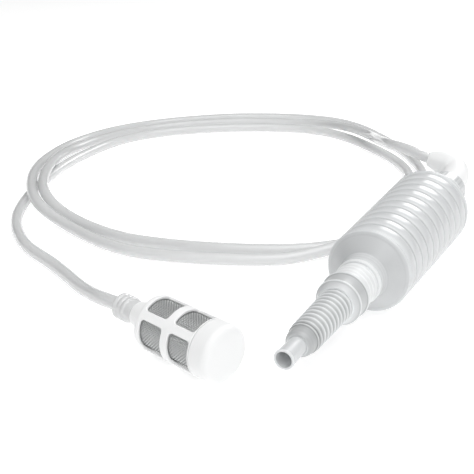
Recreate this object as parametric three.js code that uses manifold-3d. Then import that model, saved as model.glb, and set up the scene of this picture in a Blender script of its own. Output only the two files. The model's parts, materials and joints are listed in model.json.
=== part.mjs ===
// Hand-squeeze siphon pump: a bellows with a non-return valve at each end, a ribbed outlet nozzle,
// an inlet elbow, three metres of clear hose and a mesh strainer on the hose's far end.
// Millimetres, +Z up. The pump lies along Y with its outlet towards -Y, and rests on z = 0.
import * as THREE from 'three';
import { mergeVertices } from 'three/addons/utils/BufferGeometryUtils.js';
import Module from 'manifold-3d';

const wasm = await Module();
wasm.setup();

// ---- Driving dimensions -------------------------------------------------------------------------
const GAP = 0.3;                    // running gap between neighbouring pieces
const PUMP_LENGTH = 312.6;          // outlet mouth to the back of the elbow
const SIDES = 24;                   // facets round a pump piece
const VALVE_SIDES = 16;

// Stations along the pump axis are measured from the outlet mouth.
const TIP_RADIUS = 4.85;
const TIP_BORE = 4.0;
const TIP_DEPTH = 34;               // how far the tip tube reaches into the nozzle

const NOZZLE_START = 14.7;
const NOZZLE_STEP = 22.3;
const FIRST_RIB = 25;               // middle of the first grip rib
const RIB_PITCH = 3.9;
const RIB_COUNT = 10;
const RIB_FIRST_RADIUS = 8.5;
const RIB_LAST_RADIUS = 9.4;
const RIB_HEIGHT = 1;
const STEM_RADIUS = 9.1;            // smooth stem of the nozzle inside the collar
const CHAMBER_RADIUS = 7.4;         // valve chamber of the nozzle
const CHAMBER_START = 60.5;
const FLANGE_START = 65.6;
const FLANGE_END = 67.8;
const FLANGE_RADIUS = 11;

const NECK_START = 70;
const NECK_END = 95;
const NECK_RADIUS = 11.8;
const NECK_ROOT = 11;               // under the collar's thread
const NECK_BORE = 9.2;
const THREAD_PITCH = 3.9;
const COLLAR_START = 61.6;
const COLLAR_END = 75.6;
const COLLAR_BORE = 11.5;

const SHOULDER_START = NECK_END + GAP;
const FOLDS_START = 112;
const FOLDS_END = 219.4;
const FOLD_COUNT = 10;
const FIRST_FOLD = 9.7;             // length of the first fold; each one after it is a little longer
const FRONT_RIM_RADIUS = 24.5;
const REAR_RIM_RADIUS = 27.1;
const FOLD_DEPTH = 2.6;
const WALL = 1.5;

const REAR_NECK_END = 262;
const NUT_START = 257;
const NUT_END = 271;
const ELBOW_START = 264.2;
const LEG_RADIUS = 9.6;
const LEG_BORE = 6.6;
const LEG_STRAIGHT_END = 278;
const ELBOW_CORNER = 303;           // station where the two centre lines of the elbow meet
const ELBOW_RISE = 6;               // the corner stands this far above the pump axis
const ELBOW_BEND = 10;
const BARREL_SLOPE = 12;            // degrees above level
const BARREL_LENGTH = 24;
const BARREL_MOUTH_RADIUS = 5.6;
const SOCKET_DEPTH = 12;

const HOSE_RADIUS = 4;
const HOSE_SIDES = 8;
const HOSE_STEPS = 84;
const SOCKET_RADIUS = HOSE_RADIUS + GAP;

const STRAINER_SIDES = 20;
const STRAINER_RADIUS = 15.4;
const STRAINER_WALL = 1.8;
const STRAINER_X = -45.3;           // edge between the cap and the cage
const STRAINER_Y = -145.8;
const STRAINER_TURN = 75.8;         // degrees from +Y to the strainer's axis, towards -X
const CAGE_LENGTH = 38;
const CAGE_END = 42;
const CAP_LENGTH = 12.9;
const SPIGOT_LENGTH = 8;
const WINDOW_ROWS = [[0.6, 15.4], [20.2, 36.2]];
const RIB_ANGLES = 4;
const WINDOW_TURN = 2.7;            // degrees from level to the middle of a window
const CAGE_RIB_WIDTH = 5;
const SLEEVE_START = 53.3;
const SLEEVE_END = 68;

const AXIS_HEIGHT = REAR_RIM_RADIUS * Math.cos(Math.PI / SIDES);
const STRAINER_HEIGHT = STRAINER_RADIUS * Math.cos(Math.PI / STRAINER_SIDES);

// ---- Materials ----------------------------------------------------------------------------------
const plastic = (color, roughness) => new THREE.MeshStandardMaterial({ color, roughness, metalness: 0 });
const milky = () => plastic(0xc9ccd0, 0.4);
const smoky = () => plastic(0xa4a8ad, 0.4);
const white = () => plastic(0xe6e8ea, 0.45);
const clear = () => plastic(0xb4babf, 0.2);
const rubber = () => plastic(0x2f3133, 0.8);
const steel = () => new THREE.MeshStandardMaterial({ color: 0x9aa0a5, roughness: 0.35, metalness: 1 });

// ---- Geometry helpers ---------------------------------------------------------------------------
function signedVolume(positions, index) {
  const [a, b, c] = [new THREE.Vector3(), new THREE.Vector3(), new THREE.Vector3()];
  let sum = 0;
  for (let i = 0; i < index.length; i += 3) {
    a.fromBufferAttribute(positions, index[i]);
    b.fromBufferAttribute(positions, index[i + 1]);
    c.fromBufferAttribute(positions, index[i + 2]);
    sum += a.dot(b.cross(c));
  }
  return sum / 6;
}

// Welds the vertices of a closed geometry and turns its faces outwards.
function welded(source) {
  const bare = source.clone();
  bare.deleteAttribute('normal');
  bare.deleteAttribute('uv');
  const merged = mergeVertices(bare, 1e-4);
  const kept = [];
  const old = merged.index.array;
  for (let i = 0; i < old.length; i += 3) {
    const [a, b, c] = [old[i], old[i + 1], old[i + 2]];
    if (a !== b && b !== c && c !== a) kept.push(a, b, c);
  }
  if (signedVolume(merged.attributes.position, kept) < 0) kept.reverse();
  merged.setIndex(kept);
  return merged;
}

function toManifold(geometry) {
  const solid = welded(geometry);
  const vertProperties = new Float32Array(solid.attributes.position.array);
  const triVerts = new Uint32Array(solid.index.array);
  return new wasm.Manifold(new wasm.Mesh({ numProp: 3, vertProperties, triVerts }));
}

function toGeometry(manifold) {
  const result = manifold.getMesh();
  const geometry = new THREE.BufferGeometry();
  geometry.setAttribute('position', new THREE.BufferAttribute(new Float32Array(result.vertProperties), 3));
  geometry.setIndex(Array.from(result.triVerts));
  return geometry;
}

function joined(geometries) {
  return geometries.map(toManifold).reduce((sum, next) => sum.add(next));
}

// A ring or rod round Y from an outline of [station, radius] points, with a flat facet at the bottom.
function turned(outline, sides = SIDES) {
  const points = outline.map(([station, radius]) => new THREE.Vector2(radius, station));
  if (outline[0][1] > 0) points.push(points[0].clone());
  return welded(new THREE.LatheGeometry(points, sides, Math.PI / sides));
}

function pipe(start, end, outer, inner, sides = SIDES) {
  return turned([[start, inner], [start, outer], [end, outer], [end, inner]], sides);
}

function rod(start, end, radius, sides = SIDES) {
  return turned([[start, 0], [start, radius], [end, radius], [end, 0]], sides);
}

function polygon(radius, sides) {
  const corners = [];
  for (let i = 0; i < sides; i++) {
    const angle = (2 * Math.PI * (i + 0.5)) / sides;
    corners.push(new THREE.Vector2(radius * Math.cos(angle), radius * Math.sin(angle)));
  }
  return new THREE.Shape(corners);
}

function swept(path, radius, sides, steps) {
  const options = { steps, bevelEnabled: false, extrudePath: path };
  return new THREE.ExtrudeGeometry(polygon(radius, sides), options);
}

const parts = new THREE.Group();
const pump = new THREE.Group();
pump.position.set(0, -PUMP_LENGTH / 2, AXIS_HEIGHT);
parts.add(pump);

const strainer = new THREE.Group();
strainer.position.set(STRAINER_X, STRAINER_Y, STRAINER_HEIGHT);
strainer.rotation.z = THREE.MathUtils.degToRad(STRAINER_TURN);
parts.add(strainer);

function place(group, name, geometry, material) {
  geometry.computeVertexNormals();
  const mesh = new THREE.Mesh(geometry, material);
  mesh.name = name;
  group.add(mesh);
}

// ---- Outlet nozzle, collar and neck -------------------------------------------------------------
function tipTube() {
  const bead = TIP_RADIUS + 0.3;
  return turned([
    [0, TIP_BORE], [0, bead], [1.2, bead], [1.5, TIP_RADIUS], [TIP_DEPTH, TIP_RADIUS], [TIP_DEPTH, TIP_BORE],
  ]);
}

function ribbedNozzle() {
  const socket = TIP_RADIUS + GAP;
  const outline = [[NOZZLE_START, socket], [NOZZLE_START, 6.0], [18, 7.3], [22, 7.5], [NOZZLE_STEP, 8.2]];
  for (let i = 0; i < RIB_COUNT; i++) {
    const middle = FIRST_RIB + i * RIB_PITCH;
    const crest = THREE.MathUtils.lerp(RIB_FIRST_RADIUS, RIB_LAST_RADIUS, i / (RIB_COUNT - 1));
    outline.push([middle - 1.3, crest - RIB_HEIGHT], [middle - 0.5, crest]);
    outline.push([middle + 0.5, crest], [middle + 1.3, crest - RIB_HEIGHT]);
  }
  outline.push([COLLAR_START, STEM_RADIUS]);
  outline.push([FLANGE_START, STEM_RADIUS], [FLANGE_START, FLANGE_RADIUS], [FLANGE_END, FLANGE_RADIUS]);
  outline.push([FLANGE_END, CHAMBER_RADIUS], [CHAMBER_START, CHAMBER_RADIUS], [CHAMBER_START, 6.8]);
  outline.push([46, 6.8], [40, TIP_BORE], [TIP_DEPTH + GAP, TIP_BORE], [TIP_DEPTH + GAP, socket]);
  return turned(outline);
}

function outletCollar() {
  const lip = STEM_RADIUS + GAP;
  return turned([
    [COLLAR_START, lip], [COLLAR_START, 10.2], [64.6, 12.1], [65.3, 12.8], [66.2, 12.8],
    [66.8, 12.3], [73.8, 12.8], [74.5, 13.6], [COLLAR_END, 13.3], [COLLAR_END, COLLAR_BORE],
    [FLANGE_START - GAP, COLLAR_BORE], [FLANGE_START - GAP, lip],
  ]);
}

function threadedNeck() {
  const outline = [[NECK_START, NECK_BORE], [NECK_START, NECK_ROOT], [COLLAR_END + GAP, NECK_ROOT]];
  outline.push([COLLAR_END + 0.8, NECK_RADIUS]);
  for (let station = 77; station < 90; station += THREAD_PITCH) {
    outline.push([station, NECK_RADIUS], [station + 1, NECK_RADIUS + 0.6], [station + 2, NECK_RADIUS]);
  }
  outline.push([92, NECK_RADIUS], [92, 13], [NECK_END, 13]);
  outline.push([NECK_END, 10.7], [101.5, 10.7], [101.5, NECK_BORE]);
  return turned(outline);
}

place(pump, 'tip_tube', tipTube(), milky());
place(pump, 'ribbed_nozzle', ribbedNozzle(), smoky());
place(pump, 'outlet_collar', outletCollar(), smoky());
place(pump, 'outlet_gasket', pipe(FLANGE_END + GAP, NECK_START - GAP, FLANGE_RADIUS, 9.0), rubber());
place(pump, 'threaded_neck', threadedNeck(), white());

// ---- Non-return valves --------------------------------------------------------------------------
// A ring with a hub carried on three arms: the seat that guides a valve disc, or the stop over it.
function spider({ start, end, outer, inner, armStart, armEnd, hub, hubBore }) {
  const pieces = [pipe(start, end, outer, inner, VALVE_SIDES)];
  pieces.push(hubBore ? pipe(armStart, armEnd, hub, hubBore, 8) : rod(armStart, armEnd, hub, 8));
  const reach = (inner + outer) / 2;
  const foot = hubBore ? (hub + hubBore) / 2 : 0;
  for (let i = 0; i < 3; i++) {
    const arm = new THREE.BoxGeometry(1.4, armEnd - armStart, reach - foot);
    arm.translate(0, (armStart + armEnd) / 2, (reach + foot) / 2);
    arm.rotateY((2 * Math.PI * i) / 3);
    pieces.push(arm);
  }
  return toGeometry(joined(pieces));
}

// A thin disc with a guide stem behind it.
function valveDisc(faceStart, faceEnd, radius, stemEnd) {
  return turned([
    [faceStart, 0], [faceStart, radius - 0.4], [faceStart + 0.4, radius], [faceEnd, radius],
    [faceEnd, 1.0], [stemEnd, 1.0], [stemEnd, 0],
  ], VALVE_SIDES);
}

const outletSeat = {
  start: 70.3, end: 75.8, outer: NECK_BORE - GAP, inner: 6, armStart: 71.4, armEnd: 74.8,
  hub: 2.4, hubBore: 1.3,
};
const outletStop = {
  start: 60.8, end: 66.5, outer: CHAMBER_RADIUS - GAP, inner: 5.9, armStart: 64, armEnd: 66.5, hub: 1.8,
};
const inletSeat = {
  ...outletSeat, start: 256, end: 261.7, armStart: 257.1, armEnd: 260.5,
};
const inletStop = {
  start: 247, end: 252.2, outer: NECK_BORE - GAP, inner: 7.4, armStart: 249.7, armEnd: 252.2, hub: 1.8,
};
place(pump, 'outlet_valve_seat', spider(outletSeat), white());
place(pump, 'outlet_valve_disc', valveDisc(68.8, 70, 6.9, 76.6), rubber());
place(pump, 'outlet_valve_cage', spider(outletStop), white());
place(pump, 'inlet_valve_seat', spider(inletSeat), white());
place(pump, 'inlet_valve_disc', valveDisc(254.5, 255.7, 6.9, 262.4), rubber());
place(pump, 'inlet_valve_cage', spider(inletStop), white());

// ---- Bellows ------------------------------------------------------------------------------------
function frontShoulder() {
  const end = FOLDS_START - GAP;
  return turned([
    [SHOULDER_START, 11], [SHOULDER_START, 12.2], [97, 13.1], [102.3, 14], [108.3, 22.2],
    [109, 24], [110.1, 24.6], [111.1, 24.3], [end, 22.6], [end, 21.2],
    [110.5, 22.8], [109.8, 21.6], [103.5, 13.2], [102.3, 11],
  ]);
}

// Each fold as four steps of its length and how much of the fold's depth is missing there.
const FOLD_PROFILE = [[0, 1], [0.2, 0.12], [0.5, 0], [0.8, 0.12]];

function bellowsFolds() {
  const length = FOLDS_END - FOLDS_START;
  const growth = (length - FIRST_FOLD * FOLD_COUNT) / FOLD_COUNT ** 2;
  const outside = [];
  const add = (fold, missing) => {
    const along = FIRST_FOLD * fold + growth * fold * fold;
    const crest = THREE.MathUtils.lerp(FRONT_RIM_RADIUS, REAR_RIM_RADIUS, along / length);
    outside.push([FOLDS_START + along, crest - FOLD_DEPTH * missing]);
  };
  for (let i = 0; i < FOLD_COUNT; i++) {
    for (const [part, missing] of FOLD_PROFILE) add(i + part, missing);
  }
  add(FOLD_COUNT, 1);
  const inside = outside.map(([station, radius]) => [station, radius - WALL]).reverse();
  return turned([...outside, ...inside]);
}

function rearShoulder() {
  const start = FOLDS_END + GAP;
  return turned([
    [start, REAR_RIM_RADIUS - WALL], [start, REAR_RIM_RADIUS], [222.8, REAR_RIM_RADIUS],
    [228, 24.8], [234, 22], [240, 18], [244.5, 13.4], [247, NECK_ROOT], [REAR_NECK_END, NECK_ROOT],
    [REAR_NECK_END, NECK_BORE], [246, NECK_BORE], [243, 12.4], [238.8, 16.7], [233, 20.5], [227.2, 23.2],
    [222, REAR_RIM_RADIUS - WALL],
  ]);
}

place(pump, 'front_shoulder', frontShoulder(), milky());
place(pump, 'bellows_folds', bellowsFolds(), milky());
place(pump, 'rear_shoulder', rearShoulder(), milky());

// ---- Inlet nut, gasket and elbow ----------------------------------------------------------------
function inletNut() {
  const lip = LEG_RADIUS + GAP;
  return turned([
    [NUT_START, COLLAR_BORE], [NUT_START, 13.4], [258.5, 13.8], [269.4, 13.4], [NUT_END, 12.2],
    [NUT_END, lip], [268.2, lip], [268.2, COLLAR_BORE],
  ]);
}

const corner = new THREE.Vector3(0, ELBOW_CORNER, ELBOW_RISE);
const slope = THREE.MathUtils.degToRad(BARREL_SLOPE);
const barrelDirection = new THREE.Vector3(-Math.cos(slope), 0, Math.sin(slope));
const alongBarrel = (distance) => corner.clone().addScaledVector(barrelDirection, distance);

// Turns a piece made round Y so that its stations run out along the elbow's barrel.
function onBarrel(geometry) {
  const turn = new THREE.Quaternion().setFromUnitVectors(new THREE.Vector3(0, 1, 0), barrelDirection);
  return geometry.applyQuaternion(turn).translate(corner.x, corner.y, corner.z);
}

function elbow() {
  const bendStart = new THREE.Vector3(0, ELBOW_CORNER - ELBOW_BEND, 0.62 * ELBOW_RISE);
  const middle = new THREE.Vector3(-0.29 * ELBOW_BEND, ELBOW_CORNER - 0.29 * ELBOW_BEND, 0.93 * ELBOW_RISE);
  const path = new THREE.CatmullRomCurve3([
    new THREE.Vector3(0, LEG_STRAIGHT_END - 2, 0), new THREE.Vector3(0, LEG_STRAIGHT_END + 3, 0.4),
    bendStart, middle, alongBarrel(ELBOW_BEND), alongBarrel(ELBOW_BEND + 3),
  ]);
  const flange = rod(ELBOW_START, 267.9, FLANGE_RADIUS);
  const leg = rod(ELBOW_START + 1, LEG_STRAIGHT_END, LEG_RADIUS);
  const barrelStart = ELBOW_BEND + 1.5;
  const barrel = onBarrel(turned([
    [barrelStart, 0], [barrelStart, LEG_RADIUS - 0.2], [17, 8.2],
    [BARREL_LENGTH - 2.5, BARREL_MOUTH_RADIUS + 0.5], [BARREL_LENGTH, BARREL_MOUTH_RADIUS],
    [BARREL_LENGTH, 0],
  ]));
  const outside = joined([flange, leg, swept(path, LEG_RADIUS, SIDES, 10), barrel]);
  const socketStart = BARREL_LENGTH - SOCKET_DEPTH;
  const inside = joined([
    rod(ELBOW_START - 1, LEG_STRAIGHT_END, LEG_BORE, VALVE_SIDES),
    swept(path, LEG_BORE, VALVE_SIDES, 10),
    onBarrel(rod(socketStart - 4, BARREL_LENGTH - 4, TIP_BORE - 0.8, VALVE_SIDES)),
    onBarrel(rod(socketStart, BARREL_LENGTH + 1, SOCKET_RADIUS, VALVE_SIDES)),
  ]);
  return toGeometry(outside.subtract(inside));
}

place(pump, 'inlet_nut', inletNut(), milky());
place(pump, 'inlet_gasket', pipe(REAR_NECK_END + GAP, ELBOW_START - GAP, FLANGE_RADIUS, 9.0), rubber());
place(pump, 'elbow', elbow(), white());

// ---- Strainer -----------------------------------------------------------------------------------
function strainerCap() {
  const pocket = STRAINER_RADIUS - STRAINER_WALL;
  return turned([
    [-CAP_LENGTH, 0], [-CAP_LENGTH + 0.3, 8], [-CAP_LENGTH + 0.9, 12], [-11.4, 14.2],
    [-9.6, STRAINER_RADIUS], [-GAP, STRAINER_RADIUS], [-GAP, pocket], [-10.6, pocket], [-10.6, 0],
  ], STRAINER_SIDES);
}

// An angular slice of the cage's wall, as long as one window.
function windowCutter(start, end, angle) {
  const half = Math.PI / RIB_ANGLES - Math.asin(CAGE_RIB_WIDTH / 2 / STRAINER_RADIUS);
  const shape = new THREE.Shape();
  shape.moveTo(8 * Math.cos(half), 8 * Math.sin(-half));
  shape.lineTo(20 * Math.cos(half), 20 * Math.sin(-half));
  shape.lineTo(20 * Math.cos(half), 20 * Math.sin(half));
  shape.lineTo(8 * Math.cos(half), 8 * Math.sin(half));
  shape.closePath();
  const cutter = new THREE.ExtrudeGeometry(shape, { depth: end - start, bevelEnabled: false });
  return cutter.rotateX(-Math.PI / 2).translate(0, start, 0).rotateY(angle);
}

function strainerCage() {
  const inner = STRAINER_RADIUS - STRAINER_WALL;
  const spigot = inner - GAP;
  const body = toManifold(turned([
    [-SPIGOT_LENGTH, spigot - STRAINER_WALL], [-SPIGOT_LENGTH, spigot], [0, spigot], [0, STRAINER_RADIUS],
    [CAGE_LENGTH, STRAINER_RADIUS], [39.6, 14.9], [41.2, 13.2], [CAGE_END, 10.7], [CAGE_END, 6.3],
    [39.8, 6.3], [39.8, 10.5], [CAGE_LENGTH, inner], [1.2, inner], [1.2, spigot - STRAINER_WALL],
  ], STRAINER_SIDES));
  const cutters = [];
  for (const [start, end] of WINDOW_ROWS) {
    for (let i = 0; i < RIB_ANGLES; i++) {
      const angle = (2 * Math.PI * i) / RIB_ANGLES - THREE.MathUtils.degToRad(WINDOW_TURN);
      cutters.push(windowCutter(start, end, angle));
    }
  }
  return toGeometry(body.subtract(joined(cutters)));
}

// A cone that screws into the cage's end, with a barb for the hose.
function hoseConnector() {
  return turned([
    [38.2, 2.8], [38.2, 9.4], [39.5, 9.4], [39.5, 6], [CAGE_END + GAP, 6], [CAGE_END + GAP, 8.8],
    [43.4, 8.8], [SLEEVE_START - GAP, 6.8], [SLEEVE_START - GAP, 3.7], [65, 3.7], [66, 3.2], [66, 2.2],
    [44, 2.2],
  ], STRAINER_SIDES);
}

function hoseSleeve() {
  const outline = [[SLEEVE_START, SOCKET_RADIUS], [SLEEVE_START, 6.5], [58.6, 6.6]];
  for (const station of [59, 62.2, 65.4]) {
    outline.push([station, 7.3], [station + 1.6, 7.3], [station + 1.9, 6.6]);
  }
  outline.push([SLEEVE_END, 6.4], [SLEEVE_END, SOCKET_RADIUS]);
  return turned(outline, STRAINER_SIDES);
}

const meshRadius = STRAINER_RADIUS - STRAINER_WALL - GAP;
place(strainer, 'strainer_cap', strainerCap(), white());
place(strainer, 'strainer_cage', strainerCage(), white());
place(strainer, 'strainer_mesh', pipe(1.5, 37.4, meshRadius, meshRadius - 0.6, STRAINER_SIDES), steel());
place(strainer, 'hose_connector', hoseConnector(), white());
place(strainer, 'hose_sleeve', hoseSleeve(), clear());

// ---- Hose ---------------------------------------------------------------------------------------
// The centre line of the hose, which lies on the floor and never sinks into it.
class HoseRoute extends THREE.CatmullRomCurve3 {
  getPoint(t, target) {
    const point = super.getPoint(t, target);
    point.z = Math.max(point.z, HOSE_RADIUS);
    return point;
  }
}

const socketFace = alongBarrel(BARREL_LENGTH + GAP).add(pump.position);
const sleeveFace = strainer.position.clone().add(
  new THREE.Vector3(0, SLEEVE_END + GAP, 0).applyAxisAngle(new THREE.Vector3(0, 0, 1), strainer.rotation.z),
);
const hosePoints = [
  [-32.2, 147.6, 39.8], [-45.2, 152.9, 41], [-61, 166.6, 38.7], [-81, 200, 31], [-111, 256, 18.5],
  [-145, 292, 12.8], [-186, 316, 6], [-275, 284, 4], [-340, 206, 4], [-351, 131, 5.5],
  [-322, 59, 12.8], [-276, -1, 12.8], [-240, -18, 6.5], [-179, -28, 4], [-103, -7, 4], [-58, 21, 4],
  [-34, 57, 4], [-29, 131, 4], [-46, 213, 4], [-100, 288, 4], [-175, 339, 4], [-268, 313, 4],
  [-345, 233, 4], [-366, 161, 4], [-345, 81, 8.8], [-308, 20, 13], [-266, -20, 12.2],
  [-232, -31, 6], [-165, -44, 4], [-73.8, -10.2, 4.4], [-53.7, 8.1, 6.6], [-30, 48, 10],
  [-31, 84, 13], [-42, 132, 5.5], [-57, 207, 4], [-108, 263, 4], [-178, 297, 4], [-265, 263, 4],
  [-327, 191, 4], [-332, 106, 4], [-310, 29, 4], [-276, -33, 4], [-237, -68, 4], [-190, -89, 4],
  [-150, -112, 8], [-125, -125.5, 13.8],
].map(([x, y, z]) => new THREE.Vector3(x, y, z));
const route = new HoseRoute([socketFace, ...hosePoints, sleeveFace]);
route.arcLengthDivisions = 4000;
place(parts, 'hose', welded(swept(route, HOSE_RADIUS, HOSE_SIDES, HOSE_STEPS)), clear());

export default parts;
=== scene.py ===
import json
import math
import bmesh
import bpy
import numpy as np
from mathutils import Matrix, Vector


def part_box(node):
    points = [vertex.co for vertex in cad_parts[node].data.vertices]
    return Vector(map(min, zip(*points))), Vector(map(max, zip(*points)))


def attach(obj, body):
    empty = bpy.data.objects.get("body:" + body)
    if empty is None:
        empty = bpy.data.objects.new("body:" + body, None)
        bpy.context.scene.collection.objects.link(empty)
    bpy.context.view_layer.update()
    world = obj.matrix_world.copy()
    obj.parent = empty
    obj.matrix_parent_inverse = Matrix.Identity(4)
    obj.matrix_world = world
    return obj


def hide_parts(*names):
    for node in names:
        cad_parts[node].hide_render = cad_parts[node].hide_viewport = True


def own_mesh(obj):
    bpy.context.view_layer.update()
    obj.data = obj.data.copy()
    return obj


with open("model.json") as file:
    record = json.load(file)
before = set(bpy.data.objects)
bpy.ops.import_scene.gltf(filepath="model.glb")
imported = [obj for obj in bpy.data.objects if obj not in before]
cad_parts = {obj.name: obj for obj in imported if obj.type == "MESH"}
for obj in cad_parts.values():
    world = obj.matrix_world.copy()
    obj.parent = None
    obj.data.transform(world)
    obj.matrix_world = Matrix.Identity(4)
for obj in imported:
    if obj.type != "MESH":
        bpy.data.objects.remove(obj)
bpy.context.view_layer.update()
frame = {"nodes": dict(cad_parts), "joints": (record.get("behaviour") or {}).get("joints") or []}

MM = 0.001


# ---- Camera -------------------------------------------------------------------------------------
def add_camera():
    data = bpy.data.cameras.new("camera")
    data.lens = 62.28
    data.sensor_width = 36
    camera = bpy.data.objects.new("camera", data)
    pitch = math.radians(22.38)
    forward = Vector((-0.4808 * math.cos(pitch), 0.8768 * math.cos(pitch), -math.sin(pitch)))
    camera.location = (0.1366, -0.4492, 0.22)
    camera.rotation_mode = "QUATERNION"
    camera.rotation_quaternion = forward.to_track_quat("-Z", "Y")
    bpy.context.scene.collection.objects.link(camera)
    bpy.context.scene.camera = camera


# ---- Lines that pieces are turned round ---------------------------------------------------------
class Straight:
    """A straight line: at(station in mm) gives the centre there and the two directions across it."""

    def __init__(self, start, direction, side):
        self.start = np.array(start, float)
        self.direction = np.array(direction, float)
        self.side = np.array(side, float)
        self.up = np.cross(self.side, self.direction)

    def at(self, station):
        return self.start + self.direction * (station * MM), self.side, self.up


class Path:
    """A curved line through close points, whose cross directions never twist."""

    def __init__(self, points):
        self.points = np.array(points, float)
        steps = np.diff(self.points, axis=0)
        self.stations = np.concatenate([[0], np.cumsum(np.linalg.norm(steps, axis=1))]) / MM
        ahead = np.vstack([steps, steps[-1:]])
        behind = np.vstack([steps[:1], steps])
        tangents = unit(ahead) + unit(behind)
        self.tangents = unit(tangents)
        side = unit(np.cross(self.tangents[0], [0.0, 0.0, 1.0]))
        self.sides = [side]
        for tangent in self.tangents[1:]:
            side = unit(side - tangent * side.dot(tangent))
            self.sides.append(side)
        self.sides = np.array(self.sides)

    def at(self, station):
        inside = min(max(station, 0.0), self.stations[-1])
        centre = interpolated(inside, self.stations, self.points)
        tangent = unit(interpolated(inside, self.stations, self.tangents))
        side = unit(interpolated(inside, self.stations, self.sides))
        return centre + tangent * ((station - inside) * MM), side, np.cross(side, tangent)


def unit(vectors):
    return vectors / np.linalg.norm(vectors, axis=-1, keepdims=True)


def interpolated(value, keys, rows):
    return np.array([np.interp(value, keys, rows[:, i]) for i in range(3)])


def centripetal(points, spacing):
    """Close points along the centripetal Catmull-Rom curve through some points."""
    points = [np.array(p, float) for p in points]
    control = [2 * points[0] - points[1], *points, 2 * points[-1] - points[-2]]
    result = []
    for p0, p1, p2, p3 in zip(control, control[1:], control[2:], control[3:]):
        t0, t1, t2 = (math.sqrt(np.linalg.norm(b - a)) for a, b in ((p0, p1), (p1, p2), (p2, p3)))
        slope1 = ((p1 - p0) / t0 - (p2 - p0) / (t0 + t1) + (p2 - p1) / t1) * t1
        slope2 = ((p2 - p1) / t1 - (p3 - p1) / (t1 + t2) + (p3 - p2) / t2) * t1
        count = max(2, round(np.linalg.norm(p2 - p1) / spacing))
        for k in range(count):
            t = k / count
            lift = p1 * (2 * t**3 - 3 * t**2 + 1) + p2 * (3 * t**2 - 2 * t**3)
            result.append(lift + slope1 * (t**3 - 2 * t**2 + t) + slope2 * (t**3 - t**2))
    return result + [points[-1]]


# ---- Where things are, from the frame -----------------------------------------------------------
tip_low, tip_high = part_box("tip_tube")
AXIS_HEIGHT = (tip_low.z + tip_high.z) / 2
MOUTH = Vector((0, tip_low.y, AXIS_HEIGHT))
PUMP = Straight(MOUTH, (0, 1, 0), (1, 0, 0))

mesh_low, mesh_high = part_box("strainer_mesh")
mesh_middle = (mesh_low + mesh_high) / 2
MESH_START, MESH_END = 1.5, 37.4
pull = next(j for j in frame["joints"] if j["name"] == "cap_pull")["axis"]
STRAINER_DIRECTION = -Vector(pull).normalized()
STRAINER = Straight(
    mesh_middle - STRAINER_DIRECTION * ((MESH_START + MESH_END) / 2 * MM),
    STRAINER_DIRECTION,
    STRAINER_DIRECTION.cross(Vector((0, 0, 1))),
)

ELBOW_CORNER = MOUTH + Vector((0, 303, 6)) * MM
BARREL_SLOPE = math.radians(12)
BARREL_DIRECTION = Vector((-math.cos(BARREL_SLOPE), 0, math.sin(BARREL_SLOPE)))


# ---- Meshes -------------------------------------------------------------------------------------
def add_mesh(name, vertices, faces, crease=35):
    mesh = bpy.data.meshes.new(name)
    mesh.from_pydata([tuple(v) for v in vertices], [], faces)
    mesh.validate()
    shell = bmesh.new()
    shell.from_mesh(mesh)
    bmesh.ops.recalc_face_normals(shell, faces=shell.faces)
    shell.to_mesh(mesh)
    shell.free()
    mesh.polygons.foreach_set("use_smooth", [True] * len(mesh.polygons))
    mesh.set_sharp_from_angle(angle=math.radians(crease))
    piece = bpy.data.objects.new(name, mesh)
    bpy.context.scene.collection.objects.link(piece)
    return piece


def rounded(corners, steps=4):
    """An outline whose corners (station, radius, rounding) are eased by the rounding."""
    points = []
    for i, (station, radius, *rounding) in enumerate(corners):
        here = Vector((station, radius))
        if not rounding:
            points.append(here)
            continue
        before = Vector(corners[i - 1][:2]) - here
        after = Vector(corners[(i + 1) % len(corners)][:2]) - here
        reach = min(rounding[0], 0.48 * before.length, 0.48 * after.length)
        first = here + before.normalized() * reach
        last = here + after.normalized() * reach
        for k in range(steps + 1):
            t = k / steps
            points.append(first * (1 - t) ** 2 + here * (2 * t * (1 - t)) + last * t**2)
    return [tuple(point) for point in points]


def turned(name, outline, line, sides=96, swell=None):
    """A closed solid turned round a line. Where the outline touches the line, the ring is one point."""
    vertices = []
    rings = []
    angles = [2 * math.pi * i / sides for i in range(sides)]
    for station, radius in outline:
        centre, side, up = line.at(station)
        if radius < 1e-6:
            rings.append([len(vertices)] * sides)
            vertices.append(centre)
            continue
        rings.append(list(range(len(vertices), len(vertices) + sides)))
        for angle in angles:
            reach = radius + (swell(station, radius, angle) if swell else 0)
            vertices.append(centre + (side * math.cos(angle) + up * math.sin(angle)) * (reach * MM))
    hollow = outline[0][1] > 1e-6
    faces = []
    for i in range(len(rings) if hollow else len(rings) - 1):
        first, second = rings[i], rings[(i + 1) % len(rings)]
        for j in range(sides):
            k = (j + 1) % sides
            corners = (first[j], first[k], second[k], second[j])
            faces.append(tuple(dict.fromkeys(corners)))
    return add_mesh(name, vertices, [face for face in faces if len(face) > 2])


def wave(phase, narrowness):
    """0 in a groove and 1 on a crest, once for each whole phase. A high narrowness narrows the grooves."""
    return math.sqrt(max(0.0, 1 - abs(2 * (phase % 1) - 1) ** narrowness))


# ---- Materials ----------------------------------------------------------------------------------
EVEN_SPREAD = (1, 1, 1)             # light spreads equally far in red, green and blue
CLOUD_SCALE = 60                    # of the patches of uneven colour
RELIEF_DEPTH = 0.0004
# Between these pointiness values the painted groove shade turns into the painted rim highlight.
GROOVE_TO_RIM = (0.46, 0.54)        # pointiness of a groove and of a thin rim
AXIS_RAMP_FROM, AXIS_RAMP_TO = 18, 30     # stations between which the colour of the pump's plastic changes from its front strength to its rear strength


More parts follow.
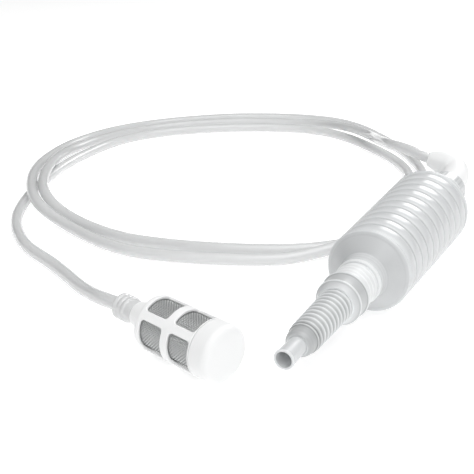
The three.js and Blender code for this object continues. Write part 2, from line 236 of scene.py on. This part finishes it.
def plastic(name, color, roughness, mottle=0.03, grain=900, bump=0.04, edge=0.0, ends=(1, 1), **sockets):
    """A moulded plastic: faint uneven colour and gloss, and a fine surface texture.

    edge darkens grooves with painted shade and lightens thin rims with a painted highlight, by their
    pointiness. ends are the colour's strengths in front of AXIS_RAMP_FROM and behind AXIS_RAMP_TO. The other
    words are sockets of the shader.
    """
    material = bpy.data.materials.new(name)
    material.use_nodes = True
    nodes, links = material.node_tree.nodes, material.node_tree.links
    shader = nodes["Principled BSDF"]
    place = nodes.new("ShaderNodeTexCoord")
    cloud = nodes.new("ShaderNodeTexNoise")
    cloud.inputs["Scale"].default_value = CLOUD_SCALE
    cloud.inputs["Detail"].default_value = 3
    links.new(place.outputs["Object"], cloud.inputs["Vector"])
    tint = nodes.new("ShaderNodeMix")
    tint.data_type = "RGBA"
    tint.inputs["A"].default_value = (*(c * (1 - mottle) for c in color), 1)
    tint.inputs["B"].default_value = (*(min(1, c * (1 + mottle)) for c in color), 1)
    links.new(cloud.outputs["Fac"], tint.inputs["Factor"])
    shade = tint.outputs["Result"]
    # Painted shade in grooves and a painted highlight on thin rims, read from the mesh's pointiness.
    if edge:
        form = nodes.new("ShaderNodeNewGeometry")
        rim = mapped(nodes, links, form.outputs["Pointiness"], GROOVE_TO_RIM, (1 - edge, 1 + edge))
        shade = multiplied(nodes, links, shade, rim)
    # The colour is made lighter or darker towards the pump's front by a ramp along its axis.
    if ends != (1, 1):
        split = nodes.new("ShaderNodeSeparateXYZ")
        links.new(place.outputs["Object"], split.inputs["Vector"])
        reach = (MOUTH.y + AXIS_RAMP_FROM * MM, MOUTH.y + AXIS_RAMP_TO * MM)
        shade = multiplied(nodes, links, shade, mapped(nodes, links, split.outputs["Y"], reach, ends))
    links.new(shade, shader.inputs["Base Color"])
    gloss = mapped(nodes, links, cloud.outputs["Fac"], (0, 1), (roughness * 0.85, roughness * 1.2))
    links.new(gloss, shader.inputs["Roughness"])
    speck = nodes.new("ShaderNodeTexNoise")
    speck.inputs["Scale"].default_value = grain
    links.new(place.outputs["Object"], speck.inputs["Vector"])
    relief = nodes.new("ShaderNodeBump")
    relief.inputs["Strength"].default_value = bump
    relief.inputs["Distance"].default_value = RELIEF_DEPTH
    links.new(speck.outputs["Fac"], relief.inputs["Height"])
    links.new(relief.outputs["Normal"], shader.inputs["Normal"])
    for socket, value in sockets.items():
        shader.inputs[socket.replace("_", " ")].default_value = value
    return material


def mapped(nodes, links, source, given, wanted):
    """A value carried from one range to another, and held at its ends."""
    node = nodes.new("ShaderNodeMapRange")
    node.inputs["From Min"].default_value, node.inputs["From Max"].default_value = given
    node.inputs["To Min"].default_value, node.inputs["To Max"].default_value = wanted
    links.new(source, node.inputs["Value"])
    return node.outputs["Result"]


def multiplied(nodes, links, color, strength):
    """A colour made lighter or darker by a strength that is itself a node's result."""
    node = nodes.new("ShaderNodeVectorMath")
    node.operation = "SCALE"
    links.new(color, node.inputs[0])
    links.new(strength, node.inputs["Scale"])
    return node.outputs["Vector"]


# edge in these materials sets how strong the painted groove shade and rim highlight are.
MILKY = plastic(
    "milky_plastic", (0.605, 0.617, 0.624), 0.25, edge=0.32, ends=(1.05, 1),
    Subsurface_Weight=0.15, Subsurface_Scale=0.004, Subsurface_Radius=EVEN_SPREAD,
)
SMOKY = plastic(
    "smoky_plastic", (0.58, 0.592, 0.598), 0.3, edge=0.7, ends=(0.68, 1),
    Subsurface_Weight=0.1, Subsurface_Scale=0.003, Subsurface_Radius=EVEN_SPREAD,
)
WHITE = plastic("white_plastic", (0.9, 0.905, 0.905), 0.38, mottle=0.015, bump=0.03, edge=0.05)
NECK = plastic("neck_plastic", (0.8, 0.81, 0.815), 0.34, mottle=0.015, bump=0.03, edge=0.1)
CLEAR = plastic(
    "clear_pvc", (0.92, 0.927, 0.93), 0.1, mottle=0.02, grain=300, bump=0.02,
    Transmission_Weight=0.35, IOR=1.55,
)
RUBBER = plastic("valve_rubber", (0.045, 0.045, 0.05), 0.6, mottle=0.2, bump=0.2)
STEEL = plastic("steel_wire", (0.66, 0.67, 0.67), 0.4, mottle=0.12, grain=2500, bump=0.1, Metallic=0.7)
SLOTS = {
    "milky_plastic": MILKY, "smoky_plastic": SMOKY, "white_plastic": WHITE, "clear_hose": CLEAR,
    "black_rubber": RUBBER, "steel_mesh": STEEL,
}


def finished(piece, node, slot, body, material=None):
    """Gives a piece its material, and lets it stand for its CAD node and ride on that node's body."""
    piece.data.materials.append(material or SLOTS[slot])
    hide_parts(node)
    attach(piece, body)
    return piece


# ---- Hose ---------------------------------------------------------------------------------------
HOSE_RADIUS = 4.0
HOSE_BORE = 3.0                     # radius of the bore
ROUTE_SPACING = 0.003
IN_SOCKET, IN_SLEEVE = 8, 1.8       # how far the hose's ends reach into the elbow and the sleeve
HOSE_POINTS = [
    (-0.0322, 0.1476, 0.0398), (-0.0452, 0.1529, 0.041), (-0.061, 0.1666, 0.0387), (-0.081, 0.2, 0.031),
    (-0.111, 0.256, 0.0185), (-0.145, 0.292, 0.0128), (-0.186, 0.316, 0.006), (-0.275, 0.284, 0.004),
    (-0.34, 0.206, 0.004), (-0.351, 0.131, 0.0055), (-0.322, 0.059, 0.0128), (-0.276, -0.001, 0.0128),
    (-0.24, -0.018, 0.0065), (-0.179, -0.028, 0.004), (-0.103, -0.007, 0.004), (-0.058, 0.021, 0.004),
    (-0.034, 0.057, 0.004), (-0.029, 0.131, 0.004), (-0.046, 0.213, 0.004), (-0.1, 0.288, 0.004),
    (-0.175, 0.339, 0.004), (-0.268, 0.313, 0.004), (-0.345, 0.233, 0.004), (-0.366, 0.161, 0.004),
    (-0.345, 0.081, 0.0088), (-0.308, 0.02, 0.013), (-0.266, -0.02, 0.0122), (-0.232, -0.031, 0.006),
    (-0.165, -0.044, 0.004), (-0.0738, -0.0102, 0.0044), (-0.0537, 0.0081, 0.0066),
    (-0.03, 0.048, 0.01), (-0.031, 0.084, 0.013), (-0.042, 0.132, 0.0055), (-0.057, 0.207, 0.004),
    (-0.108, 0.263, 0.004), (-0.178, 0.297, 0.004), (-0.265, 0.263, 0.004), (-0.327, 0.191, 0.004),
    (-0.332, 0.106, 0.004), (-0.31, 0.029, 0.004), (-0.276, -0.033, 0.004), (-0.237, -0.068, 0.004),
    (-0.19, -0.089, 0.004), (-0.15, -0.112, 0.008), (-0.125, -0.1255, 0.0138),
]
SOCKET_FACE = ELBOW_CORNER + BARREL_DIRECTION * (24.3 * MM)
SLEEVE_FACE = Vector(STRAINER.at(68.3)[0])


def add_hose():
    """The hose from inside the elbow's socket to inside the sleeve, lying on the floor."""
    middle = centripetal([SOCKET_FACE, *HOSE_POINTS, SLEEVE_FACE], ROUTE_SPACING)
    floor = np.array([-1e9, -1e9, HOSE_RADIUS * MM])
    centres = [np.maximum(point, floor) for point in middle]
    in_socket = SOCKET_FACE - BARREL_DIRECTION * (IN_SOCKET * MM)
    in_sleeve = SLEEVE_FACE - STRAINER_DIRECTION * (IN_SLEEVE * MM)
    path = Path([in_socket, *centres, in_sleeve])
    outside = [(station, HOSE_RADIUS) for station in path.stations]
    inside = [(station, HOSE_BORE) for station in reversed(path.stations)]
    hose = turned("hose_tube", outside + inside, path, 24)
    finished(hose, "hose", "clear_hose", "root")
    return hose, path


# ---- Outlet end ---------------------------------------------------------------------------------
PITCH = 3.9                         # of the nozzle's grip ribs, and of the neck's thread


def add_tip_tube():
    outline = rounded([
        (0, 4.0, 0.25), (0, 5.15, 0.45), (1.3, 5.15, 0.4), (1.8, 4.85, 0.3), (34, 4.85, 0.3), (34, 4.0, 0.2),
    ])
    finished(turned("tip_tube_fine", outline, PUMP), "tip_tube", "milky_plastic", "nozzle")


def add_nozzle():
    """A stepped front, grip ribs that grow a little towards the collar, a flange and the valve chamber."""
    first_rib, count = 25.0, 10
    front_crest, crest_growth, groove_depth = 8.5, 0.9, 1.1
    corners = [
        (14.7, 4.9), (14.8, 6.0, 0.3), (16.2, 6.9, 0.8), (18, 7.3, 0.8), (21.4, 7.5, 0.3),
        (21.8, 8.2, 0.3), (22.4, 8.1, 0.3),
    ]
    for i in range(count):
        middle = first_rib + i * PITCH
        crest = front_crest + crest_growth * i / (count - 1)
        corners += [(middle - 1.3, crest - groove_depth, 0.6), (middle - 0.35, crest, 0.4)]
        corners += [(middle + 0.35, crest, 0.4), (middle + 1.3, crest - groove_depth, 0.6)]
    corners += [
        (61.5, 8.9, 0.3), (65.6, 8.9, 0.2), (65.6, 11, 0.3), (67.8, 11, 0.3), (67.8, 7.4, 0.2),
        (60.5, 7.4), (60.5, 6.8), (46, 6.8, 1), (40, 4.0, 1), (34.3, 4.0), (34.3, 4.9),
    ]
    nozzle = turned("ribbed_nozzle_fine", rounded(corners), PUMP)
    finished(nozzle, "ribbed_nozzle", "smoky_plastic", "nozzle")


def add_collar():
    """A short cone that ends in a raised rim, and a straight skirt that ends in another."""
    corners = [
        (61.6, 9.15), (61.7, 10.0, 0.3), (64.7, 12.0, 0.5), (65.2, 12.75, 0.3), (66.2, 12.8, 0.35),
        (66.7, 12.25, 0.3), (73.9, 12.7, 0.3), (74.4, 13.5, 0.35), (75.3, 13.6, 0.35), (75.6, 13.2, 0.2),
        (75.6, 11.5, 0.2), (65.3, 11.5), (65.3, 9.15),
    ]
    collar = turned("outlet_collar_fine", rounded(corners), PUMP)
    finished(collar, "outlet_collar", "smoky_plastic", "collar")


def add_threaded_neck():
    """The neck carries a real helical thread between its ends."""
    start, end, runout = 77, 91, 2
    first_crest, height = 78.35, 0.65

    def thread(station, radius, angle):
        if radius < 11.5 or not start < station < end:
            return 0
        fade = min(1, (station - start) / runout, (end - station) / runout)
        turn = ((station - first_crest) / PITCH - angle / (2 * math.pi)) % 1
        return height * fade * max(0, 1 - abs(2 * turn - 1) * 1.8)

    ridge = [(76.7 + 0.35 * i, 11.8) for i in range(43)]
    corners = [(70, 9.2, 0.2), (70, 11, 0.3), (75.9, 11, 0.3), (76.4, 11.8), *ridge]
    corners += [(92, 11.8, 0.4), (92, 13, 0.4), (95, 13, 0.3), (95, 10.7)]
    corners += [(101.5, 10.7, 0.3), (101.5, 9.2, 0.2)]
    neck = turned("threaded_neck_fine", rounded(corners), PUMP, swell=thread)
    finished(neck, "threaded_neck", "white_plastic", "front", NECK)


def add_gasket(name, node, start, body):
    thickness = 1.6
    end = start + thickness
    outline = rounded([(start, 9, 0.4), (start, 11, 0.4), (end, 11, 0.4), (end, 9, 0.4)])
    finished(turned(name, outline, PUMP, 64), node, "black_rubber", body)


def add_disc(name, node, start, stem_end, body):
    """A valve's rubber disc with a guide stem behind it."""
    radius, stem_radius, thickness = 6.9, 1.0, 1.2
    back = start + thickness
    outline = rounded([
        (start, 0), (start, radius, 0.5), (back, radius, 0.3), (back, stem_radius, 0.3),
        (stem_end, stem_radius, 0.3), (stem_end, 0),
    ])
    finished(turned(name, outline, PUMP, 64), node, "black_rubber", body)


# ---- Bellows ------------------------------------------------------------------------------------
FOLDS_START, FOLDS_END, FOLD_COUNT = 112.0, 219.4, 10
FIRST_FOLD = 9.7
FRONT_RIM, REAR_RIM = 24.5, 27.1
FOLD_DEPTH = 2.2
FOLD_STEPS = 18                     # rings along each fold
GROOVE_NARROWNESS = 3
WALL = 1.4


def add_front_shoulder():
    """A neck in three low steps, a cone and a raised rim that bends inwards to meet the first fold."""
    corners = [(95.3, 11, 0.3), (95.3, 12.2, 0.4)]
    for i in range(3):
        station = 96.2 + 2.1 * i
        corners += [(station, 12.95 + 0.3 * i, 0.5), (station + 1.0, 13.2 + 0.3 * i, 0.5)]
    corners += [
        (102.4, 14.0, 0.8), (108.2, 22.0, 0.5), (108.6, 23.1, 0.7), (109.3, 24.4, 0.8), (110.8, 24.6, 0.7),
        (111.7, 22.6, 0.3), (111.7, 21.2, 0.2), (110.5, 22.8, 0.6), (109.8, 21.6, 0.6), (103.5, 13.2, 0.6),
        (102.3, 11, 0.3),
    ]
    shoulder = turned("front_shoulder_fine", rounded(corners), PUMP, 128)
    finished(shoulder, "front_shoulder", "milky_plastic", "front")


def add_folds():
    """Rounded folds, each a little longer and wider than the one in front of it."""
    length = FOLDS_END - FOLDS_START
    growth = (length - FIRST_FOLD * FOLD_COUNT) / FOLD_COUNT**2
    steps = FOLD_STEPS * FOLD_COUNT
    outside = []
    for i in range(steps + 1):
        fold = i * FOLD_COUNT / steps
        along = FIRST_FOLD * fold + growth * fold**2
        crest = FRONT_RIM + (REAR_RIM - FRONT_RIM) * along / length
        missing = FOLD_DEPTH * (1 - wave(fold, GROOVE_NARROWNESS))
        outside.append((FOLDS_START + along, crest - missing))
    inside = [(station, radius - WALL) for station, radius in reversed(outside)]
    folds = turned("bellows_folds_fine", outside + inside, PUMP, 128)
    finished(folds, "bellows_folds", "milky_plastic", "root")
    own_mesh(folds)


def add_rear_shoulder():
    """The rim behind the folds, a rounded cone and the neck that the union nut holds."""
    corners = [
        (219.7, 23.7, 0.2), (219.7, 25.2, 0.3), (221.2, 27.1, 1.2), (223, 27.1, 1.4), (228, 24.8, 2),
        (234, 22, 2), (240, 18, 2), (244.5, 13.4, 1.6), (247, 11, 1), (262, 11, 0.3), (262, 9.2, 0.3),
        (246, 9.2, 1), (243, 12.4, 1.6), (238.8, 16.7, 2), (233, 20.5, 2), (227.2, 23.2, 2),
        (222, 25.4, 0.8),
    ]
    shoulder = turned("rear_shoulder_fine", rounded(corners), PUMP, 128)
    finished(shoulder, "rear_shoulder", "milky_plastic", "root")


# ---- Inlet end ----------------------------------------------------------------------------------
def add_inlet_nut():
    """The union nut has shallow grip ribs along its length."""
    grip_start, grip_end, groove_depth, ribs = 257.6, 270.2, 0.16, 28

    def grip(station, radius, angle):
        if radius < 13 or not grip_start < station < grip_end:
            return 0
        return -groove_depth * (1 - abs(math.sin(ribs / 2 * angle))) ** 2

    sides_in_steps = [(grip_start + 0.9 * i, 13.8) for i in range(14)]
    corners = [(257, 11.5, 0.2), (257, 13.2, 0.4)] + sides_in_steps
    corners += [(grip_end, 13.3, 0.4), (271, 12.4, 0.4), (271, 9.9, 0.2), (268.2, 9.9), (268.2, 11.5)]
    nut = turned("inlet_nut_fine", rounded(corners), PUMP, 168, swell=grip)
    finished(nut, "inlet_nut", "milky_plastic", "nut")


def add_elbow():
    """A flanged leg, a fat smooth bend and a barrel that tapers to the hose socket."""
    leg = [MOUTH + Vector((0, t, 0)) * MM for t in (264.2, 268, 272, 276)]
    bend = [
        ELBOW_CORNER + Vector(step) * MM
        for step in ((0, -22, -5.6), (0, -10, -2.28), (-2.9, -2.9, -0.42))
    ]
    barrel = [ELBOW_CORNER + BARREL_DIRECTION * (d * MM) for d in (10, 13, 18, 24)]
    path = Path(centripetal(leg + bend + barrel, 0.0008))
    end = path.stations[-1]
    flange, radius, bore = 3.7, 9.6, 6.6
    corners = [(0, bore, 0.3), (0, 11, 0.3), (flange, 11, 0.4), (flange, radius, 0.3)]
    body_steps = 24
    taper_start = end - 15
    bore_end = end - 18
    for i in range(1, body_steps):
        corners.append((flange + (taper_start - flange) * i / body_steps, radius))
    corners += [(taper_start, 9.5, 2), (end - 8, 8.3, 3), (end - 2.2, 6.3, 1.5), (end, 5.7, 0.6)]
    corners += [(end, 4.3, 0.3), (end - 12, 4.3), (end - 12, 3.2), (end - 16, 3.2), (bore_end, 6.2, 1)]
    for i in range(1, body_steps):
        corners.append((bore_end - bore_end * i / body_steps, bore))
    finished(turned("elbow_fine", rounded(corners), path), "elbow", "white_plastic", "root")


# ---- Strainer -----------------------------------------------------------------------------------
CAGE_RADIUS = 15.4
CAGE_WALL = 1.8
CAGE_FRONT, CAGE_MIDDLE, CAGE_REAR = 0.25, 17.8, 37.8       # ends of the two rows of window cells
RIBS = 4
RIB_HALF_WIDTH = 2.5
WINDOW_TURN = math.radians(2.7)
WINDOW_CORNER = 2.2
WINDOW_EDGE = 0.45                  # rounding of a window's edge through the wall


def add_cap():
    """A low dome with a rounded rim, hollow for the cage's spigot."""
    corners = [
        (-12.9, 0), (-12.85, 5, 3), (-12.5, 10, 3), (-11.6, 14.0, 2.2), (-9.4, 15.4, 1.6), (-0.8, 15.4, 0.3),
        (-0.3, 15.15, 0.2), (-0.3, 13.6, 0.2), (-10.6, 13.6, 0.8), (-10.6, 0),
    ]
    cap = turned("strainer_cap_fine", rounded(corners, 6), STRAINER)
    finished(cap, "strainer_cap", "white_plastic", "cap")


def window_cell(row_start, row_end, start, end, angle, grid):
    """One window and its share of the cage's wall, as loops of vertices from the cell's edge inwards."""
    half_angle = math.pi / RIBS
    half_width = (half_angle - math.asin(RIB_HALF_WIDTH / CAGE_RADIUS)) * CAGE_RADIUS
    half_length = (end - start) / 2
    middle = (start + end) / 2
    inner = CAGE_RADIUS - CAGE_WALL
    rims = (
        (WINDOW_EDGE, CAGE_RADIUS), (0, CAGE_RADIUS - WINDOW_EDGE), (0, inner + WINDOW_EDGE),
        (WINDOW_EDGE, inner),
    )
    loops = [[] for _ in range(6)]
    for x, y in grid:
        edge_angle = angle + x * half_angle
        edge_station = row_start if y == -1 else row_end if y == 1 else middle + y * half_length
        px, py = x * half_width, y * half_length
        qx = max(-(half_width - WINDOW_CORNER), min(half_width - WINDOW_CORNER, px))
        qy = max(-(half_length - WINDOW_CORNER), min(half_length - WINDOW_CORNER, py))
        reach = math.hypot(px - qx, py - qy)
        nx, ny = (px - qx) / reach, (py - qy) / reach
        loops[0].append((edge_angle, edge_station, CAGE_RADIUS))
        for loop, (grow, radius) in zip(loops[1:5], rims):
            hole_x = qx + nx * (WINDOW_CORNER + grow)
            hole_y = qy + ny * (WINDOW_CORNER + grow)
            loop.append((angle + hole_x / CAGE_RADIUS, middle + hole_y, radius))
        loops[5].append((edge_angle, edge_station, inner))
    return loops


def add_cage():
    """Four ribs and three rings with rounded windows, a spigot for the cap and a shoulder for the hose."""
    count = 18
    spread = [math.sin(math.pi / 2 * (2 * i / count - 1)) for i in range(count + 1)]
    spread[0], spread[-1] = -1, 1
    grid = [(x, -1) for x in spread[:-1]] + [(1, y) for y in spread[:-1]]
    grid += [(-x, 1) for x in spread[:-1]] + [(-1, -y) for y in spread[:-1]]
    vertices, faces, known = [], [], {}

    def vertex(angle, station, radius):
        """The number of a vertex, which is shared where window cells meet."""
        key = (round(angle % (2 * math.pi), 4) % 6.2832, round(station, 3), round(radius, 3))
        if key not in known:
            known[key] = len(vertices)
            centre, side, up = STRAINER.at(station)
            vertices.append(centre + (side * math.cos(angle) + up * math.sin(angle)) * (radius * MM))
        return known[key]

    def strip(first, second):
        for j in range(len(first)):
            k = (j + 1) % len(first)
            quad = (first[j], first[k], second[k], second[j])
            faces.append(tuple(dict.fromkeys(quad)))

    rows = [(CAGE_FRONT, CAGE_MIDDLE, 0.75, 15.4), (CAGE_MIDDLE, CAGE_REAR, 20.2, 36.2)]
    middles = [2 * math.pi * i / RIBS + WINDOW_TURN for i in range(RIBS)]
    for angle in middles:
        for row in rows:
            loops = window_cell(*row, angle, grid)
            rings = [[vertex(*corner) for corner in loop] for loop in loops]
            for first, second in zip(rings, rings[1:]):
                strip(first, second)

    angles = sorted({round(middle + x * math.pi / RIBS, 9) for middle in middles for x in spread[:-1]})
    inner = CAGE_RADIUS - CAGE_WALL
    spigot = inner - 0.3
    rear = rounded([
        (CAGE_REAR, CAGE_RADIUS), (38.2, CAGE_RADIUS, 0.5), (38.8, 14.9, 0.3), (39.6, 14.9, 0.6),
        (41.2, 13.2, 1.2), (42, 10.7, 0.5), (42, 6.3, 0.3), (39.8, 6.3, 0.2), (39.8, 10.5, 0.5),
        (38, inner, 0.4), (CAGE_REAR, inner),
    ])
    front = rounded([
        (CAGE_FRONT, inner), (0.7, inner - 0.3, 0.1), (0.7, spigot - 1.8, 0.2), (-8, spigot - 1.8, 0.3),
        (-8, spigot, 0.5), (0, spigot), (0, CAGE_RADIUS - 0.2, 0.1), (CAGE_FRONT, CAGE_RADIUS),
    ])
    for outline in (rear, front):
        rings = [[vertex(angle, station, radius) for angle in angles] for station, radius in outline]
        for lower, upper in zip(rings, rings[1:]):
            strip(lower, upper)
    cage = add_mesh("strainer_cage_fine", vertices, faces)
    finished(cage, "strainer_cage", "white_plastic", "root")


def add_woven_mesh():
    """Plain-weave steel gauze rolled into a sleeve: every wire passes over and under its neighbours."""
    rows, columns = 40, 90
    radius, swing, wire = 13.0, 0.17, 0.18      # swing is how far a wire weaves in and out
    corner_reach = wire * 1.2                   # each wire has four sides
    pitch = (MESH_END - MESH_START - 2 * wire) / (rows - 1)
    vertices, faces = [], []

    def add_wire(points, closed):
        points = np.array(points)
        if closed:
            tangents = np.roll(points, -1, axis=0) - np.roll(points, 1, axis=0)
        else:
            tangents = np.gradient(points, axis=0)
        tangents = unit(tangents)
        outward = unit(points - middle_line(points))
        across = unit(np.cross(tangents, outward))
        first = len(vertices)
        for corner in range(4):
            turn = math.pi / 4 + math.pi / 2 * corner
            offset = across * math.cos(turn) + outward * math.sin(turn)
            vertices.extend(points + offset * (corner_reach * MM))
        length = len(points)
        for corner in range(4):
            beside = (corner + 1) % 4
            for i in range(length if closed else length - 1):
                after = (i + 1) % length
                faces.append((
                    first + corner * length + i, first + corner * length + after,
                    first + beside * length + after, first + beside * length + i,
                ))
        if not closed:
            faces.append(tuple(first + corner * length for corner in (0, 1, 2, 3)))
            faces.append(tuple(first + corner * length + length - 1 for corner in (3, 2, 1, 0)))

    def middle_line(points):
        along = (points - STRAINER.start) @ STRAINER.direction
        return STRAINER.start + np.outer(along, STRAINER.direction)

    def point(angle, station, reach):
        centre, side, up = STRAINER.at(station)
        return centre + (side * math.cos(angle) + up * math.sin(angle)) * (reach * MM)

    first_row = MESH_START + wire
    for column in range(columns):
        angle = 2 * math.pi * column / columns
        steps = [i / 2 for i in range(2 * rows - 1)]
        add_wire([
            point(angle, first_row + pitch * step, radius + swing * math.cos(math.pi * (step + column)))
            for step in steps
        ], False)
    for row in range(rows):
        station = first_row + pitch * row
        add_wire([
            point(math.pi * i / columns, station, radius - swing * math.cos(math.pi * (i / 2 + row)))
            for i in range(2 * columns)
        ], True)
    sleeve = add_mesh("strainer_gauze", vertices, faces, 60)
    finished(sleeve, "strainer_mesh", "steel_mesh", "root")


def add_connector():
    """A flange inside the cage, a cone and a barb for the sleeve and the hose."""
    corners = [
        (38.2, 2.8, 0.2), (38.2, 9.4, 0.3), (39.5, 9.4, 0.3), (39.5, 6, 0.3), (42.3, 6, 0.3),
        (42.3, 8.8, 0.4), (43.4, 8.8, 0.6), (48, 7.7, 2), (53, 6.8, 0.5), (53, 3.7, 0.3), (57, 3.7),
        (57.6, 3.9, 0.2), (59, 3.5), (61, 3.9, 0.2), (62.4, 3.5), (64.4, 3.8, 0.3), (66, 3.2, 0.3),
        (66, 2.2, 0.3), (44, 2.2, 0.5),
    ]
    connector = turned("hose_connector_fine", rounded(corners), STRAINER, 72)
    finished(connector, "hose_connector", "white_plastic", "root")


def add_sleeve():
    """A short sleeve with three rings."""
    corners = [(53.3, 4.3, 0.2), (53.3, 6.4, 0.5), (58.4, 6.6, 0.6)]
    for station in (59, 62.2, 65.4):
        corners += [(station + 0.1, 7.3, 0.4), (station + 1.5, 7.3, 0.4), (station + 2.1, 6.6, 0.3)]
    corners += [(68, 6.4, 0.5), (68, 4.3, 0.2)]
    sleeve = turned("hose_sleeve_fine", rounded(corners), STRAINER, 72)
    finished(sleeve, "hose_sleeve", "clear_hose", "root")


# ---- Inner valve frames, which keep their CAD shape ---------------------------------------------
def finish_valve_frames():
    for name in ("outlet_valve_seat", "outlet_valve_cage", "inlet_valve_seat", "inlet_valve_cage"):
        node = frame["nodes"][name]
        for slot in node.material_slots:
            slot.material = WHITE
        edge = node.modifiers.new("soft_edges", "BEVEL")
        edge.width = 0.15 * MM
        edge.segments = 2
        edge.limit_method = "ANGLE"
        edge.angle_limit = math.radians(40)


# ---- Studio -------------------------------------------------------------------------------------
def add_floor():
    """A pale floor that glows a little, so that it stays white round the object."""
    size, depth = 6, 0.0003
    mesh = bpy.data.meshes.new("floor")
    corners = [(-size, -size), (size, -size), (size, size), (-size, size)]
    mesh.from_pydata([(x, y, -depth) for x, y in corners], [], [(0, 1, 2, 3)])
    floor = bpy.data.objects.new("floor", mesh)
    bpy.context.scene.collection.objects.link(floor)
    glow = {"Emission_Color": (1, 1, 1, 1), "Emission_Strength": 0.62}
    floor.data.materials.append(plastic("pale_floor", (0.6, 0.6, 0.6), 0.9, mottle=0.002, bump=0, **glow))


def add_light(name, place, target, size, power):
    """A square softbox at a place, facing a target."""
    data = bpy.data.lights.new(name, "AREA")
    data.size = size
    data.energy = power
    light = bpy.data.objects.new(name, data)
    light.location = place
    light.rotation_mode = "QUATERNION"
    light.rotation_quaternion = (Vector(target) - Vector(place)).to_track_quat("-Z", "Y")
    bpy.context.scene.collection.objects.link(light)


def add_studio():
    add_floor()
    middle = (-0.15, 0.1, 0)
    add_light("overhead_softbox", (0.4, -0.15, 1.5), middle, 1.4, 18)
    add_light("front_softbox", (0.35, -1.3, 0.8), middle, 1.0, 3.5)
    add_light("rear_softbox", (0.0, 1.5, 0.78), (0, 0, 0.05), 0.6, 6)
    world = bpy.data.worlds.new("studio")
    bpy.context.scene.world = world
    world.use_nodes = True
    nodes, links = world.node_tree.nodes, world.node_tree.links
    back = nodes["Background"]
    direction = nodes.new("ShaderNodeTexCoord")
    split = nodes.new("ShaderNodeSeparateXYZ")
    links.new(direction.outputs["Generated"], split.inputs["Vector"])
    ramp = nodes.new("ShaderNodeValToRGB")
    ramp.color_ramp.elements[0].position = 0.0
    ramp.color_ramp.elements[0].color = (0.32, 0.33, 0.34, 1)
    ramp.color_ramp.elements[1].position = 0.75
    ramp.color_ramp.elements[1].color = (1, 1, 1, 1)
    links.new(split.outputs["Z"], ramp.inputs["Fac"])
    links.new(ramp.outputs["Color"], back.inputs["Color"])
    back.inputs["Strength"].default_value = 0.4
    bpy.context.scene.view_settings.view_transform = "Standard"


# ---- Making everything --------------------------------------------------------------------------
add_camera()
hose, hose_path = add_hose()

add_tip_tube()
add_nozzle()
add_collar()
add_threaded_neck()
add_gasket("outlet_gasket_fine", "outlet_gasket", 68.1, "nozzle")
add_disc("outlet_disc_fine", "outlet_valve_disc", 68.8, 76.6, "outlet_disc")
add_front_shoulder()
add_folds()
add_rear_shoulder()
add_disc("inlet_disc_fine", "inlet_valve_disc", 254.5, 262.4, "inlet_disc")
add_gasket("inlet_gasket_fine", "inlet_gasket", 262.3, "root")
add_inlet_nut()
add_elbow()
add_cap()
add_cage()
add_woven_mesh()
add_connector()
add_sleeve()
finish_valve_frames()

add_studio()
